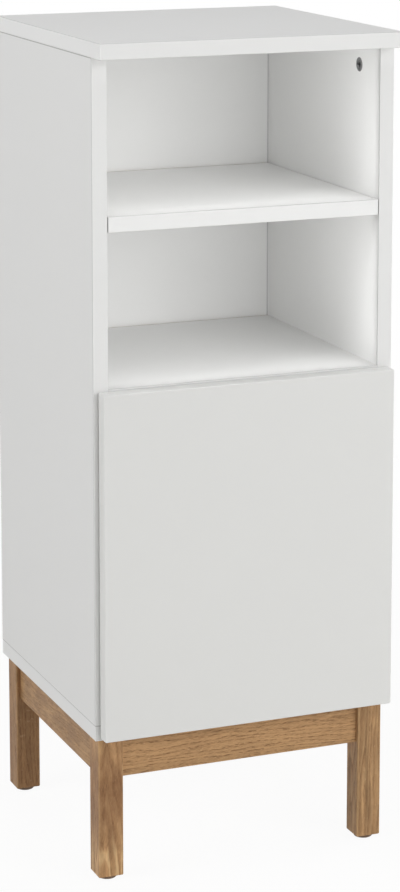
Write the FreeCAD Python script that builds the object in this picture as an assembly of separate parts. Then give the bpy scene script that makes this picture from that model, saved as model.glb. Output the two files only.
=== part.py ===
"""Narrow bathroom cabinet: two open shelves over one push-to-open door, on an oak leg frame.

Millimetres. +Z is up, +Y is the back, and the cabinet stands on Z = 0 with the top panel centred on Z.
"""

import FreeCAD
import Part

import math
import os
from collections import namedtuple

V = FreeCAD.Vector
UP, DOWN = V(0, 0, 1), V(0, 0, -1)
FRONT, BACK = V(0, -1, 0), V(0, 1, 0)
LEFT, RIGHT = V(-1, 0, 0), V(1, 0, 0)
BOTH_SIDES = (-1, 1)

# Overall sizes
width = 330.0
depth = 330.0
height = 870.0
board = 16.0
edging = 1.0
edge_radius = 0.8
top_overhang = 25.0

leg_length = 150.0
glide_height = 4.0

# Fits and cutting room that all pieces share
glued_fit = 0.05
running_fit = 0.05
hole_end_room = 1.0
overrun = 5.0

# Back panel, which slides in grooves
back_thickness = 3.0
back_recess = 15.0
groove_depth = 6.0
groove_play = 0.15
back_edge_play = 0.5

# Loose shelves on pins
shelf_end_gap = 1.0
shelf_back_gap = 2.0
inner_shelf_setback = 20.0
shelf_pin_radius = 2.5
shelf_pin_depth = 8.0
shelf_pin_reach = 9.0
shelf_pin_collar_radius = 4.0
shelf_pin_collar = 0.7
shelf_pin_inset = 50.0

# Cam fittings that draw the boards together
cam_radius = 7.5
cam_skin = 3.5
cam_setback = 24.0
cam_end_distance = 50.0
cam_slot_width = 1.6
cam_slot_length = 9.0
cam_slot_depth = 3.0
bolt_head_radius = 3.2
bolt_head_length = 3.0
bolt_neck_radius = 1.8
bolt_neck_length = 5.0
bolt_shank_radius = 3.0
bolt_shank_play = 0.5
bolt_thread_radius = 2.5
bolt_thread_depth = 10.0

# Wooden dowels beside the cam fittings
dowel_radius = 4.0
dowel_face_depth = 10.0
dowel_edge_depth = 20.0
dowel_chamfer = 1.0
dowel_offset = 32.0

# Door, which covers the lower part but for a narrow margin at its sides
door_height = 361.0
door_margin = 4.5
door_thickness = 16.0
door_gap = 2.0
door_below_shelf_top = 1.5
door_above_base = 3.5
door_edge_radius = 1.5

# Single-pin hinges: a tray let into the door, and an arm on a plate on the right side
hinge_end_distance = 85.0
pin_edge_inset = 6.0
pin_radius = 1.4
door_front_skin = 4.5
knuckle_radius = 2.6
knuckle_room = 0.4
tray_wall = 1.0
tray_end_wall = 1.5
tray_flange = 1.0
tray_ear = 14.0
tray_ear_radius = 3.0
tray_ear_past_pin = 1.0
arm_width = 12.0
arm_side_room = 0.5
arm_thickness = 2.0
arm_bend_room = 0.8
arm_front_inset = 8.0
arm_length = 60.0
arm_lip = 1.2
arm_lip_gap = 1.0
plate_setback = 37.0
plate_base = 2.0
plate_rib = 3.5
plate_length = 44.0
plate_rib_margin = 1.0
plate_wing_width = 16.0
plate_wing_span = 50.0
plate_corner_radius = 3.0
plate_screw_spacing = 32.0
arm_screw_spacing = 26.0

# Push latch on the left side, with its strike on the door
latch_below_shelf = 34.0
latch_width = 16.0
latch_height = 18.0
latch_length = 60.0
latch_front_setback = 3.0
latch_rear_wall = 3.0
latch_edge_radius = 2.0
latch_base = 2.0
latch_base_span = 38.0
latch_base_length = 36.0
latch_screw_spacing = 28.0
plunger_radius = 5.0
plunger_length = 44.0
plunger_bore = 7.0
plunger_tip_gap = 0.3
plunger_tip_chamfer = 0.6
magnet_radius = 3.5
magnet_depth = 3.0
spring_radius = 3.4
spring_wire_radius = 0.5
spring_turns = 6
spring_end_room = 0.6
strike_width = 14.0
strike_span = 30.0
strike_thickness = 1.0
strike_corner_radius = 3.0
strike_screw_spacing = 20.0

# Oak leg frame
leg_side = 27.0
leg_inset = 5.0
leg_edge_radius = 1.5
apron_height = 45.0
apron_thickness = 18.0
apron_setback = 5.0
apron_edge_radius = 1.0
apron_dowel_radius = 3.0
apron_dowel_depth = 9.0
front_dowel_spacing = 26.0
side_dowel_spacing = 10.0
frame_screw_offset = 70.0
frame_screw_bite = 11.0
frame_screw_grip = 20.0
frame_screw_bore_play = 1.0
glide_radius = 10.0
glide_edge_radius = 1.5
glide_stem_radius = 1.5
glide_stem_length = 14.0

# Screws: radius of the shank, radius and height of the head, length with the head
small_screw_shank = 1.6
small_screw_head = 3.0
small_screw_rise = 1.4
tray_screw_length = 10.0
latch_screw_length = 12.0
strike_screw_length = 10.0
plate_screw_shank = 1.8
plate_screw_head = 3.4
plate_screw_rise = 1.6
plate_screw_length = 13.0
arm_screw_shank = 2.0
arm_screw_head = 3.6
arm_screw_rise = 1.8
arm_screw_length = 11.0
frame_screw_shank = 2.0
frame_screw_head = 4.0
frame_screw_rise = 2.0
screw_slot_width = 0.9
screw_slot_share = 0.55
screw_slot_depth = 1.0

Screw = namedtuple("Screw", "shank head rise length flat_top")
tray_screw = Screw(small_screw_shank, small_screw_head, small_screw_rise, tray_screw_length, False)
latch_screw = Screw(small_screw_shank, small_screw_head, small_screw_rise, latch_screw_length, False)
strike_screw = Screw(small_screw_shank, small_screw_head, small_screw_rise, strike_screw_length, False)
plate_screw = Screw(plate_screw_shank, plate_screw_head, plate_screw_rise, plate_screw_length, False)
arm_screw = Screw(arm_screw_shank, arm_screw_head, arm_screw_rise, arm_screw_length, True)
frame_screw_length = frame_screw_grip + frame_screw_bite
frame_screw = Screw(frame_screw_shank, frame_screw_head, frame_screw_rise, frame_screw_length, False)

# Planes of the carcass
half_width = width / 2
inner_x = half_width - board
mid_board = inner_x + board / 2
rear = depth / 2
top_front = -rear
side_front = top_front + top_overhang
base_z = glide_height + leg_length
base_top = base_z + board
top_z = height - board
door_z = base_z + door_above_base
door_top = door_z + door_height
fixed_shelf_top = door_top + door_below_shelf_top
fixed_shelf_z = fixed_shelf_top - board
open_shelf_top = (fixed_shelf_top + top_z + board) / 2
inner_shelf_top = (base_top + fixed_shelf_z + board) / 2
back_rear = rear - back_recess
back_front = back_rear - back_thickness
cam_rows = (side_front + cam_end_distance, rear - cam_end_distance)
dowel_rows = (cam_rows[0] + dowel_offset, cam_rows[1] - dowel_offset)

# Planes of the door and the hinge axis
door_back = side_front - door_gap
door_front = door_back - door_thickness
door_edge_x = half_width - door_margin
pin_x = door_edge_x - pin_edge_inset
tray_floor = door_front + door_front_skin
pin_y = tray_floor + tray_wall + knuckle_room + knuckle_radius
hinge_heights = {
    "upper": door_top - hinge_end_distance,
    "lower": door_z + hinge_end_distance,
}
arm_x = inner_x - plate_rib - arm_thickness / 2

# Latch axis and leg frame planes
latch_x = -inner_x + latch_width / 2
latch_z = fixed_shelf_z - latch_below_shelf
latch_front = side_front + latch_front_setback
latch_rear = latch_front + latch_length
plunger_tip = door_back + strike_thickness + plunger_tip_gap
leg_outer_x = half_width - leg_inset
leg_front = side_front + leg_inset
leg_rear = rear - leg_inset
apron_z = base_z - apron_height


def slab(low, high):
    """Box between two opposite corners."""
    size = V(*high) - V(*low)
    return Part.makeBox(size.x, size.y, size.z, V(*low))


def rod(start, axis, radius, length):
    """Round bar from a point along an axis."""
    return Part.makeCylinder(radius, length, start, axis)


def stack(start, axis, steps):
    """Turned bar: (radius, length) steps one after another along an axis."""
    solid = None
    at = V(start)
    for radius, length in steps:
        step = rod(at, axis, radius, length)
        solid = step if solid is None else solid.fuse(step)
        at = at + axis * length
    return solid.removeSplitter()


def group(solids):
    return Part.makeCompound(list(solids))


def ease(shape, radius, chosen):
    """Rounds the edges whose bounding box passes the test."""
    edges = [edge for edge in shape.Edges if chosen(edge.BoundBox)]
    return shape.makeFillet(radius, edges)


def along_x(box):
    return box.XLength > max(box.YLength, box.ZLength)


def along_y(box):
    return box.YLength > max(box.XLength, box.ZLength)


def along_z(box):
    return box.ZLength > max(box.XLength, box.YLength)


def cross_slot(centre, axis, across, width_, length, slot_depth):
    """Two crossing slots sunk into a head or a cam from the point on its face."""
    other = axis.cross(across)
    bars = []
    for long_way, short_way in ((across, other), (other, across)):
        corner = centre - long_way * (length / 2) - short_way * (width_ / 2)
        outline = [
            corner,
            corner + long_way * length,
            corner + long_way * length + short_way * width_,
            corner + short_way * width_,
            corner,
        ]
        bars.append(Part.Face(Part.makePolygon(outline)).extrude(axis * slot_depth))
    return bars[0].fuse(bars[1])


def any_across(axis):
    return RIGHT if abs(axis.x) < abs(axis.z) + abs(axis.y) else UP


def screw_solid(screw, top, axis):
    """A screw whose head's top is centred on a point and whose shank runs along an axis."""
    if screw.flat_top:
        head = rod(top, axis, screw.head, screw.rise)
    else:
        head = Part.makeCone(screw.head, screw.shank, screw.rise, top, axis)
    shank_end = screw.length - screw.shank
    shank = rod(top, axis, screw.shank, shank_end)
    point = Part.makeCone(screw.shank, 0, screw.shank, top + axis * shank_end, axis)
    slot_length = screw.head * 2 * screw_slot_share
    slot = cross_slot(top, axis, any_across(axis), screw_slot_width, slot_length, screw_slot_depth)
    return head.fuse([shank, point]).removeSplitter().cut(slot)


def screw_hole(screw, top, axis):
    """The hole a screw sits in, larger by the glued fit. A pan head stands on the surface."""
    hole = rod(top, axis, screw.shank + glued_fit, screw.length + hole_end_room)
    if screw.flat_top:
        return hole
    return hole.fuse(
        Part.makeCone(screw.head + glued_fit, screw.shank + glued_fit, screw.rise + glued_fit, top, axis)
    )


# Joints between the carcass boards

Cam = namedtuple("Cam", "face into bolt")
Dowel = namedtuple("Dowel", "seam to_face")

cams = {"top": [], "base": [], "shelf": []}
dowels = []
for side in BOTH_SIDES:
    outward = RIGHT * side
    for y in cam_rows:
        cams["top"].append(Cam(V(side * inner_x, y, top_z - cam_setback), outward, UP))
        cams["base"].append(Cam(V(side * inner_x, y, base_top + cam_setback), outward, DOWN))
        cams["shelf"].append(Cam(V(side * (inner_x - cam_setback), y, fixed_shelf_z), UP, outward))
    for y in dowel_rows:
        dowels.append(Dowel(V(side * mid_board, y, top_z), UP))
        dowels.append(Dowel(V(side * mid_board, y, base_top), DOWN))
        dowels.append(Dowel(V(side * inner_x, y, fixed_shelf_z + board / 2), outward))
all_cams = [cam for row in cams.values() for cam in row]


def bolt_axis_start(cam):
    return cam.face + cam.into * (board / 2)


def cam_disc(cam):
    """Turned cam with a channel for the bolt head and a cross slot in its face."""
    disc = rod(cam.face, cam.into, cam_radius, board - cam_skin)
    channel_start = bolt_axis_start(cam) - cam.bolt * bolt_head_length
    channel_length = bolt_head_length + cam_radius + overrun
    channel = rod(channel_start, cam.bolt, bolt_head_radius + glued_fit, channel_length)
    slot = cross_slot(cam.face, cam.into, cam.bolt, cam_slot_width, cam_slot_length, cam_slot_depth)
    return disc.cut([channel, slot])


def cam_bolt(cam):
    """Bolt from the middle of its cam to its thread in the face of the other board."""
    shank_length = cam_setback - bolt_neck_length - bolt_head_length / 2
    return stack(
        bolt_axis_start(cam) - cam.bolt * (bolt_head_length / 2),
        cam.bolt,
        (
            (bolt_head_radius, bolt_head_length),
            (bolt_neck_radius, bolt_neck_length),
            (bolt_shank_radius, shank_length),
            (bolt_thread_radius, bolt_thread_depth),
        ),
    )


def cam_holes(cam):
    """Cam bore, the edge hole for the shank and the pilot hole for the thread."""
    start = bolt_axis_start(cam)
    seam = start + cam.bolt * cam_setback
    return [
        rod(cam.face, cam.into, cam_radius + glued_fit, board - cam_skin + glued_fit),
        rod(start, cam.bolt, bolt_head_radius + bolt_shank_play, cam_setback),
        rod(seam, cam.bolt, bolt_thread_radius + glued_fit, bolt_thread_depth + hole_end_room),
    ]


def dowel_solid(start, axis, radius, length):
    bar = rod(start, axis, radius, length)
    rims = [edge for edge in bar.Edges if edge.Closed]
    return bar.makeChamfer(dowel_chamfer, rims)


def carcass_dowel(dowel):
    start = dowel.seam - dowel.to_face * dowel_edge_depth
    return dowel_solid(start, dowel.to_face, dowel_radius, dowel_edge_depth + dowel_face_depth)


def dowel_hole(dowel):
    start = dowel.seam - dowel.to_face * (dowel_edge_depth + hole_end_room)
    length = dowel_edge_depth + dowel_face_depth + 2 * hole_end_room
    return rod(start, dowel.to_face, dowel_radius + glued_fit, length)


joint_holes = [hole for cam in all_cams for hole in cam_holes(cam)] + [dowel_hole(d) for d in dowels]


# Places of the screws, pins and dowels outside the carcass joints


def plate_screw_places():
    top = inner_x - plate_base
    for z in hinge_heights.values():
        for way in BOTH_SIDES:
            yield V(top, side_front + plate_setback, z + way * plate_screw_spacing / 2), RIGHT


def arm_screw_places():
    head_top = arm_x - arm_thickness / 2 - arm_screw.rise
    for z in hinge_heights.values():
        for way in BOTH_SIDES:
            yield V(head_top, side_front + plate_setback + way * arm_screw_spacing / 2, z), RIGHT


def latch_screw_places():
    y = (latch_front + latch_rear) / 2
    for way in BOTH_SIDES:
        yield V(-inner_x + latch_base, y, latch_z + way * latch_screw_spacing / 2), LEFT


def tray_screw_places():
    offset = arm_width / 2 + arm_side_room + tray_end_wall + tray_ear / 2
    for z in hinge_heights.values():
        for way in BOTH_SIDES:
            yield V((pin_x + arm_x) / 2, door_back + tray_flange, z + way * offset), FRONT


def strike_screw_places():
    for way in BOTH_SIDES:
        yield V(latch_x, door_back + strike_thickness, latch_z + way * strike_screw_spacing / 2), FRONT


def frame_screw_places():
    """Heads sit in deep bores in the aprons' undersides, and the shanks bite into the bottom panel."""
    z = base_z - frame_screw_grip
    for y in (front_apron_y(), back_apron_y()):
        for way in BOTH_SIDES:
            yield V(way * frame_screw_offset, y, z), UP
    for way in BOTH_SIDES:
        yield V(way * side_apron_x(), (leg_front + leg_rear) / 2, z), UP


def front_apron_y():
    return leg_front + apron_setback + apron_thickness / 2


def back_apron_y():
    return leg_rear - apron_setback - apron_thickness / 2


def side_apron_x():
    return leg_outer_x - apron_setback - apron_thickness / 2


def shelf_pins(shelf_underside, front):
    """Seats of the four pins under a loose shelf, each with its outward direction."""
    z = shelf_underside - shelf_pin_radius
    for side in BOTH_SIDES:
        for y in (front + shelf_pin_inset, back_front - shelf_pin_inset):
            yield V(side * inner_x, y, z), RIGHT * side


def apron_dowel_places():
    """Dowels between aprons and legs, front and back ones further apart than those at the sides."""
    mid_z = apron_z + apron_height / 2
    leg_inner_x = leg_outer_x - leg_side
    leg_inner_y = {-1: leg_front + leg_side, 1: leg_rear - leg_side}
    apron_y = {-1: front_apron_y(), 1: back_apron_y()}
    for side in BOTH_SIDES:
        for end in BOTH_SIDES:
            for way in BOTH_SIDES:
                front_z = mid_z + way * front_dowel_spacing / 2
                side_z = mid_z + way * side_dowel_spacing / 2
                yield V(side * leg_inner_x, apron_y[end], front_z), RIGHT * side
                yield V(side * side_apron_x(), leg_inner_y[end], side_z), BACK * end


def holes_for(screw, places):
    return [screw_hole(screw, top, axis) for top, axis in places]


def screws_at(screw, places):
    return group(screw_solid(screw, top, axis) for top, axis in places)


open_shelf_pins = list(shelf_pins(open_shelf_top - board, side_front))
inner_shelf_front = side_front + inner_shelf_setback
inner_shelf_pins = list(shelf_pins(inner_shelf_top - board, inner_shelf_front))
arm_screw_holes = holes_for(arm_screw, arm_screw_places())
tray_screw_holes = holes_for(tray_screw, tray_screw_places())
hinge_side_holes = holes_for(plate_screw, plate_screw_places()) + arm_screw_holes
latch_side_holes = holes_for(latch_screw, latch_screw_places())
pin_holes = [
    rod(seat, outward, shelf_pin_radius + glued_fit, shelf_pin_depth + hole_end_room)
    for seat, outward in open_shelf_pins + inner_shelf_pins
]


# Carcass boards


def back_groove():
    """Room the back panel takes, which cuts its grooves in the boards round it."""
    reach = inner_x + groove_depth
    return slab(
        (-reach, back_front - groove_play, base_top - groove_depth),
        (reach, back_rear + groove_play, top_z + groove_depth),
    )


def banded_all_round(low, high):
    """Board with rounded rims and an edging strip round its four narrow sides: (core, edging)."""
    whole = slab(low, high)
    whole = whole.makeFillet(edge_radius, whole.Edges)
    core_low = (low[0] + edging, low[1] + edging, low[2] - overrun)
    core_high = (high[0] - edging, high[1] - edging, high[2] + overrun)
    core = slab(core_low, core_high)
    return whole.common(core), whole.cut(core)


def banded_front(low, high, long_way):
    """Board with an edging strip on its front edge only, rounded along that edge: (core, edging)."""
    front = low[1]
    whole = ease(slab(low, high), edge_radius, lambda box: long_way(box) and box.YMax < front + edging)
    strip = slab(
        (low[0] - overrun, front - overrun, low[2] - overrun),
        (high[0] + overrun, front + edging, high[2] + overrun),
    )
    return whole.cut(strip), whole.common(strip)


def top_panel():
    core, band = banded_all_round((-half_width, top_front, top_z), (half_width, rear, height))
    return core.cut([back_groove()] + joint_holes), band


def bottom_panel():
    core, band = banded_all_round((-half_width, side_front, base_z), (half_width, rear, base_top))
    frame_holes = holes_for(frame_screw, frame_screw_places())
    return core.cut([back_groove()] + joint_holes + frame_holes), band


def side_panel(side, own_holes):
    low_x, high_x = sorted((side * inner_x, side * half_width))
    core, band = banded_front((low_x, side_front, base_top), (high_x, rear, top_z), along_z)
    return core.cut([back_groove()] + joint_holes + pin_holes + own_holes), band


def fixed_shelf():
    core, band = banded_front(
        (-inner_x, side_front, fixed_shelf_z),
        (inner_x, back_front - shelf_back_gap, fixed_shelf_top),
        along_x,
    )
    return core.cut(joint_holes), band


def loose_shelf(top, front):
    reach = inner_x - shelf_end_gap
    return banded_front((-reach, front, top - board), (reach, back_front - shelf_back_gap, top), along_x)


def back_panel():
    reach = inner_x + groove_depth - back_edge_play
    return slab(
        (-reach, back_front, base_top - groove_depth + back_edge_play),
        (reach, back_rear, top_z + groove_depth - back_edge_play),
    )


def shelf_pin(seat, outward):
    """Plug in the side, a thin collar on its face and the peg that the shelf lies on."""
    return stack(
        seat + outward * shelf_pin_depth,
        -outward,
        (
            (shelf_pin_radius, shelf_pin_depth),
            (shelf_pin_collar_radius, shelf_pin_collar),
            (shelf_pin_radius, shelf_pin_reach - shelf_pin_collar),
        ),
    )


# Door and hinges


def door_panel():
    low = (-door_edge_x, door_front, door_z)
    high = (door_edge_x, door_back, door_top)
    panel = slab(low, high)
    panel = panel.makeFillet(door_edge_radius, panel.Edges)
    pockets = [tray_envelope(z, glued_fit) for z in hinge_heights.values()]
    strike_holes = holes_for(strike_screw, strike_screw_places())
    return panel.cut(pockets + tray_screw_holes + strike_holes)


def tray_span(grow):
    """Outer x and z limits of a hinge tray about its pin, grown by a fit."""
    left = arm_x - arm_thickness / 2 - arm_bend_room - tray_wall - grow
    right = pin_x + knuckle_radius + knuckle_room + tray_wall + grow
    half_height = arm_width / 2 + arm_side_room + tray_end_wall + grow
    return left, right, half_height


def tray_envelope(z, grow):
    left, right, half_height = tray_span(grow)
    return slab((left, tray_floor - grow, z - half_height), (right, door_back, z + half_height))


def hinge_tray(z):
    """Open tray let into the door's back, with two screwed ears and end walls that hold the pin."""
    left, right, half_height = tray_span(0)
    inner_half = arm_width / 2 + arm_side_room
    hollow = slab(
        (left + tray_wall, tray_floor + tray_wall, z - inner_half),
        (right - tray_wall, door_back + overrun, z + inner_half),
    )
    ear_end = half_height + tray_ear
    ears = slab(
        (left, door_back, z - ear_end),
        (pin_x + tray_ear_past_pin, door_back + tray_flange, z + ear_end),
    )
    ears = ease(ears, tray_ear_radius, along_y)
    mouth = slab(
        (left - overrun, door_back, z - inner_half),
        (right + overrun, door_back + overrun, z + inner_half),
    )
    tray = tray_envelope(z, 0).fuse(ears.cut(mouth)).removeSplitter()
    pin_hole = rod(V(pin_x, pin_y, z - half_height), UP, pin_radius + glued_fit, 2 * half_height)
    return tray.cut([hollow, pin_hole] + tray_screw_holes)


def hinge_pin(z):
    half_height = tray_span(0)[2]
    return rod(V(pin_x, pin_y, z - half_height), UP, pin_radius, 2 * half_height)


def hinge_arm(z):
    """Cranked arm: a knuckle on the pin, a neck that leaves the tray, and a lipped channel inside."""
    low, high = z - arm_width / 2, z + arm_width / 2
    half = arm_thickness / 2
    channel_front = side_front + arm_front_inset
    channel_rear = channel_front + arm_length
    knuckle = rod(V(pin_x, pin_y, low), UP, knuckle_radius, arm_width)
    neck = slab((arm_x - half, pin_y - half, low), (pin_x, pin_y + half, high))
    shank = slab((arm_x - half, pin_y - half, low), (arm_x + half, channel_rear, high))
    crank = ease(
        neck.fuse(shank).removeSplitter(),
        arm_thickness,
        lambda box: along_z(box) and box.XMax < arm_x and box.YMax < pin_y,
    )
    lip_low, lip_high = low - arm_lip_gap - arm_lip, high + arm_lip_gap + arm_lip
    web = slab((arm_x - half, channel_front, lip_low), (arm_x + half, channel_rear, lip_high))
    lips = [
        slab((arm_x + half, channel_front, edge), (arm_x + half + arm_lip, channel_rear, edge + arm_lip))
        for edge in (lip_low, lip_high - arm_lip)
    ]
    pin_hole = rod(V(pin_x, pin_y, low), UP, pin_radius + running_fit, arm_width)
    return crank.fuse([knuckle, web] + lips).removeSplitter().cut([pin_hole] + arm_screw_holes)


def hinge_plate(z):
    """Cross-shaped plate on the side panel, with a rib that fills the arm's channel."""
    middle = side_front + plate_setback
    rib_half = arm_width / 2 - plate_rib_margin
    wings = slab(
        (inner_x - plate_base, middle - plate_wing_width / 2, z - plate_wing_span / 2),
        (inner_x, middle + plate_wing_width / 2, z + plate_wing_span / 2),
    )
    wings = ease(wings, plate_corner_radius, along_x)
    rib = slab(
        (arm_x + arm_thickness / 2, middle - plate_length / 2, z - rib_half),
        (inner_x, middle + plate_length / 2, z + rib_half),
    )
    return wings.fuse(rib).removeSplitter().cut(hinge_side_holes)


# Push latch


def latch_housing():
    """Box with a bore for the plunger and a base that is screwed to the left side."""
    box = slab(
        (-inner_x, latch_front, latch_z - latch_height / 2),
        (-inner_x + latch_width, latch_rear, latch_z + latch_height / 2),
    )
    inner_face = -inner_x + latch_width
    box = ease(box, latch_edge_radius, lambda b: along_y(b) and b.XMin > inner_face - latch_edge_radius)
    middle = (latch_front + latch_rear) / 2
    base = slab(
        (-inner_x, middle - latch_base_length / 2, latch_z - latch_base_span / 2),
        (-inner_x + latch_base, middle + latch_base_length / 2, latch_z + latch_base_span / 2),
    )
    base = ease(base, plate_corner_radius, along_x)
    bore = rod(
        V(latch_x, latch_front - overrun, latch_z),
        BACK,
        plunger_radius + running_fit,
        latch_length - latch_rear_wall + overrun,
    )
    return box.fuse(base).removeSplitter().cut([bore] + latch_side_holes)


def latch_plunger():
    """Round plunger, hollow behind for its spring, with a pocket in its tip for the magnet."""
    bar = rod(V(latch_x, plunger_tip, latch_z), BACK, plunger_radius, plunger_length)
    rims = [edge for edge in bar.Edges if edge.Closed and edge.BoundBox.YMax < latch_front]
    bar = bar.makeChamfer(plunger_tip_chamfer, rims)
    pocket = rod(V(latch_x, plunger_tip, latch_z), BACK, magnet_radius + glued_fit, magnet_depth)
    spring_seat = rod(
        V(latch_x, plunger_tip + plunger_length - plunger_bore, latch_z),
        BACK,
        spring_radius + 2 * spring_wire_radius,
        plunger_bore + overrun,
    )
    return bar.cut([pocket, spring_seat])


def latch_magnet():
    return rod(V(latch_x, plunger_tip, latch_z), BACK, magnet_radius, magnet_depth)


def latch_spring():
    """Coil between the plunger's hollow end and the housing's rear wall, in half-turn arcs."""
    start = plunger_tip + plunger_length - plunger_bore + spring_wire_radius + spring_end_room
    end = latch_rear - latch_rear_wall - spring_wire_radius - spring_end_room
    half_turns = 2 * spring_turns

    def point(half_turn):
        angle = math.pi * half_turn
        y = start + (end - start) * half_turn / half_turns
        return V(latch_x + spring_radius * math.cos(angle), y, latch_z + spring_radius * math.sin(angle))

    arcs = [Part.Arc(point(i), point(i + 1 / 2), point(i + 1)).toShape() for i in range(half_turns)]
    path = Part.Wire(arcs)
    tangent = arcs[0].tangentAt(arcs[0].FirstParameter)
    section = Part.Wire(Part.makeCircle(spring_wire_radius, point(0), tangent))
    return path.makePipeShell([section], True, False)


def strike_plate():
    plate = slab(
        (latch_x - strike_width / 2, door_back, latch_z - strike_span / 2),
        (latch_x + strike_width / 2, door_back + strike_thickness, latch_z + strike_span / 2),
    )
    plate = ease(plate, strike_corner_radius, along_y)
    return plate.cut(holes_for(strike_screw, strike_screw_places()))


# Leg frame


def frame_dowel(seam, to_leg):
    start = seam - to_leg * apron_dowel_depth
    return dowel_solid(start, to_leg, apron_dowel_radius, 2 * apron_dowel_depth)


def frame_dowel_hole(seam, to_leg):
    length = 2 * (apron_dowel_depth + hole_end_room / 2)
    return rod(seam - to_leg * (length / 2), to_leg, apron_dowel_radius + glued_fit, length)


frame_dowel_holes = [frame_dowel_hole(seam, to_leg) for seam, to_leg in apron_dowel_places()]


def leg(side, end):
    """Square leg with rounded corners, drilled for its four dowels and the glide's stem."""
    low_x, high_x = sorted((side * leg_outer_x, side * (leg_outer_x - leg_side)))
    low_y = leg_front if end < 0 else leg_rear - leg_side
    post = slab((low_x, low_y, glide_height), (high_x, low_y + leg_side, base_z))
    post = ease(post, leg_edge_radius, lambda box: box.ZMin < base_z - leg_edge_radius)
    stem = rod(leg_foot(side, end), UP, glide_stem_radius + glued_fit, glide_stem_length + hole_end_room)
    return post.cut(frame_dowel_holes + [stem])


def leg_foot(side, end):
    """Middle of a leg's lower end."""
    y = leg_front + leg_side / 2 if end < 0 else leg_rear - leg_side / 2
    return V(side * (leg_outer_x - leg_side / 2), y, glide_height)


def apron_cutters():
    """Dowel holes, screw holes and the deep bores through which the frame screws are driven."""
    bore_radius = frame_screw.head + frame_screw_bore_play
    bores = [
        rod(V(top.x, top.y, apron_z - overrun), UP, bore_radius, top.z - apron_z + overrun)
        for top, _ in frame_screw_places()
    ]
    return frame_dowel_holes + bores + holes_for(frame_screw, frame_screw_places())


def long_apron(middle_y):
    """Front or back rail between two legs."""
    reach = leg_outer_x - leg_side
    rail = slab(
        (-reach, middle_y - apron_thickness / 2, apron_z),
        (reach, middle_y + apron_thickness / 2, base_z),
    )
    rail = ease(rail, apron_edge_radius, lambda box: along_x(box) and box.ZMax < base_z)
    return rail.cut(apron_cutters())


def side_apron(side):
    middle_x = side * side_apron_x()
    rail = slab(
        (middle_x - apron_thickness / 2, leg_front + leg_side, apron_z),
        (middle_x + apron_thickness / 2, leg_rear - leg_side, base_z),
    )
    rail = ease(rail, apron_edge_radius, lambda box: along_y(box) and box.ZMax < base_z)
    return rail.cut(apron_cutters())


def glide(side, end):
    """Round foot with a soft rim and the stem that is driven into the leg."""
    foot = leg_foot(side, end)
    pad = rod(V(foot.x, foot.y, 0), UP, glide_radius, glide_height)
    rims = [edge for edge in pad.Edges if edge.Closed and edge.BoundBox.ZMax < glide_height / 2]
    pad = pad.makeFillet(glide_edge_radius, rims)
    stem = rod(foot, UP, glide_stem_radius, glide_stem_length)
    return pad.fuse(stem).removeSplitter()


def all_pieces():
    """Every node's name with its shape."""
    pieces = {}
    pieces["top_panel"], pieces["top_edge_band"] = top_panel()
    pieces["bottom_panel"], pieces["bottom_edge_band"] = bottom_panel()
    pieces["left_side_panel"], pieces["left_side_edge_band"] = side_panel(-1, latch_side_holes)
    pieces["right_side_panel"], pieces["right_side_edge_band"] = side_panel(1, hinge_side_holes)
    pieces["fixed_shelf"], pieces["fixed_shelf_edge_band"] = fixed_shelf()
    pieces["open_shelf"], pieces["open_shelf_edge_band"] = loose_shelf(open_shelf_top, side_front)
    pieces["inner_shelf"], pieces["inner_shelf_edge_band"] = loose_shelf(inner_shelf_top, inner_shelf_front)
    pieces["back_panel"] = back_panel()
    for row, row_cams in cams.items():
        pieces[row + "_cam_discs"] = group(cam_disc(cam) for cam in row_cams)
        pieces[row + "_cam_bolts"] = group(cam_bolt(cam) for cam in row_cams)
    pieces["carcass_dowels"] = group(carcass_dowel(dowel) for dowel in dowels)
    pieces["open_shelf_pins"] = group(shelf_pin(*place) for place in open_shelf_pins)
    pieces["inner_shelf_pins"] = group(shelf_pin(*place) for place in inner_shelf_pins)
    pieces["door_panel"] = door_panel()
    for name, z in hinge_heights.items():
        pieces[name + "_hinge_tray"] = hinge_tray(z)
        pieces[name + "_hinge_pin"] = hinge_pin(z)
        pieces[name + "_hinge_arm"] = hinge_arm(z)
        pieces[name + "_hinge_plate"] = hinge_plate(z)
    pieces["hinge_tray_screws"] = screws_at(tray_screw, tray_screw_places())
    pieces["hinge_plate_screws"] = screws_at(plate_screw, plate_screw_places())
    pieces["hinge_arm_screws"] = screws_at(arm_screw, arm_screw_places())
    pieces["latch_housing"] = latch_housing()
    pieces["latch_plunger"] = latch_plunger()
    pieces["latch_magnet"] = latch_magnet()
    pieces["latch_spring"] = latch_spring()
    pieces["latch_screws"] = screws_at(latch_screw, latch_screw_places())
    pieces["strike_plate"] = strike_plate()
    pieces["strike_screws"] = screws_at(strike_screw, strike_screw_places())
    corners = [(side, end) for end in BOTH_SIDES for side in BOTH_SIDES]
    for (side, end), name in zip(corners, ("front_left", "front_right", "back_left", "back_right")):
        pieces[name + "_leg"] = leg(side, end)
    pieces["front_apron"] = long_apron(front_apron_y())
    pieces["back_apron"] = long_apron(back_apron_y())
    pieces["left_apron"] = side_apron(-1)
    pieces["right_apron"] = side_apron(1)
    pieces["apron_dowels"] = group(frame_dowel(*place) for place in apron_dowel_places())
    pieces["frame_screws"] = screws_at(frame_screw, frame_screw_places())
    pieces["glides"] = group(glide(*corner) for corner in corners)
    return pieces


def main():
    os.makedirs("parts", exist_ok=True)
    for name, shape in all_pieces().items():
        shape.exportStep(os.path.join("parts", name + ".step"))
        print(name, len(shape.Solids), round(shape.Volume))


main()
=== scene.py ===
"""Finishes, light and camera for a narrow white bathroom cabinet with one door and an oak leg frame."""

import math
from typing import NamedTuple

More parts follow.
